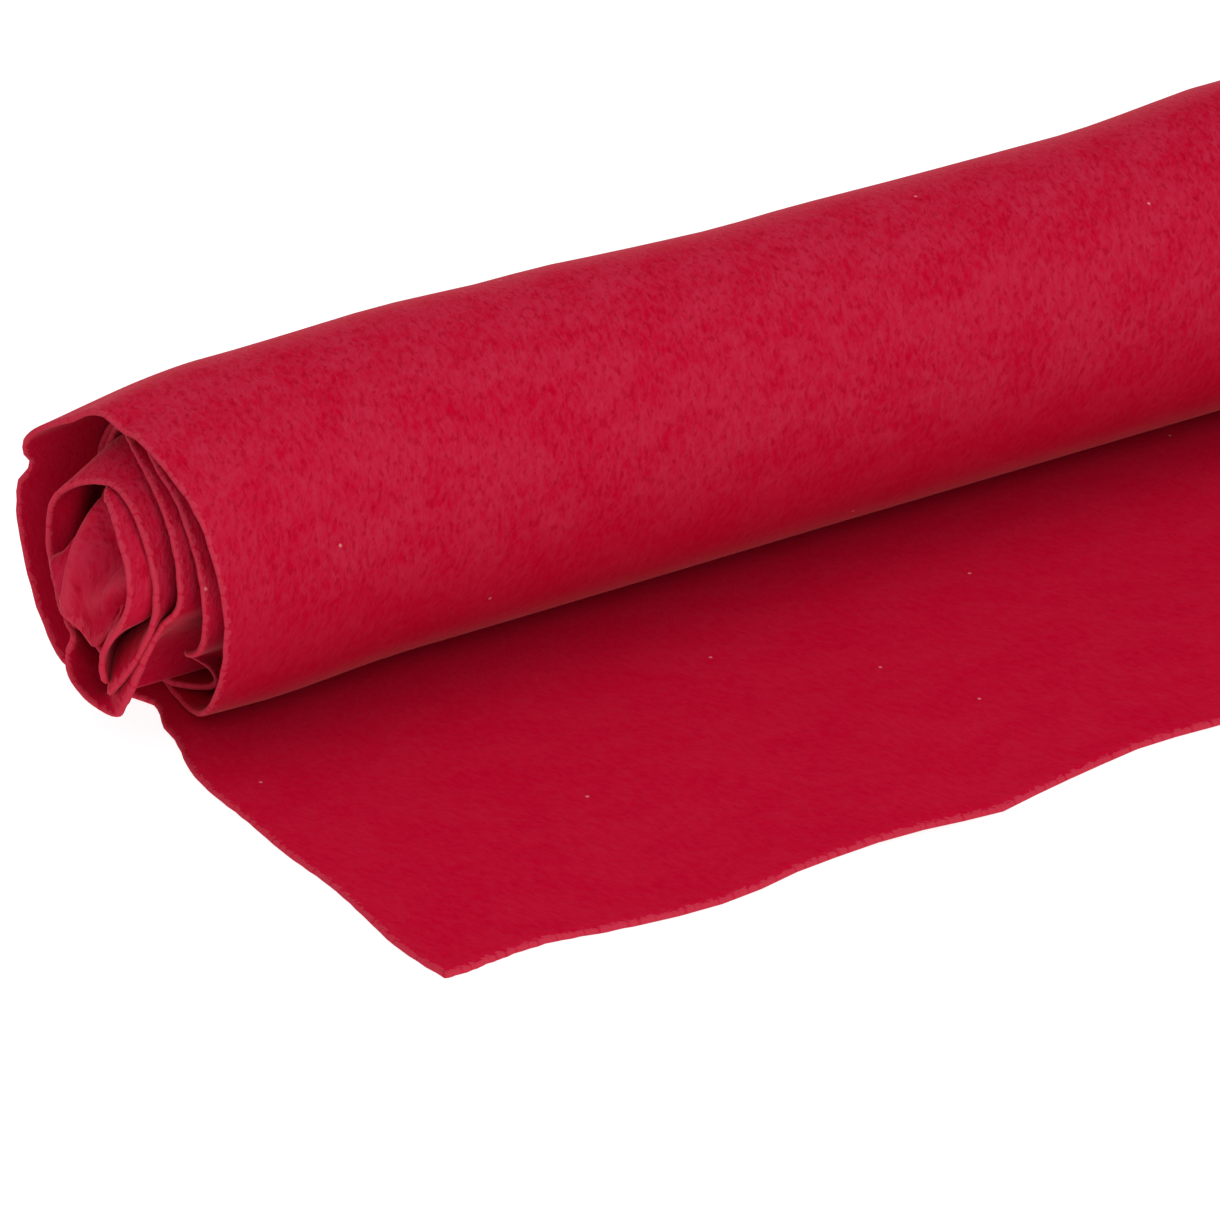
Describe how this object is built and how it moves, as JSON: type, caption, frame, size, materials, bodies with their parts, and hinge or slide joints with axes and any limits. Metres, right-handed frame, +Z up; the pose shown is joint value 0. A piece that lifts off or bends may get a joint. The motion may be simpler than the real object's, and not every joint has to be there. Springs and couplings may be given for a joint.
{
  "type": "roll of felt",
  "caption": "Sheet of red craft felt wound into a loose roll, one end crumpled, with its loose end lying flat in front.",
  "frame": {"origin": "on the resting surface, straight under the roll's axis, at the middle of the felt's width", "axes": "+X along the roll, away from its crumpled end; +Y to the back, away from the loose end; +Z up"},
  "size_m": [0.4644, 0.1675, 0.0708],
  "materials": {
    "felt": "matte, short-fibred carmine red felt"
  },
  "bodies": {
    "root": {"felt_roll": "felt"}
  },
  "joints": []
}
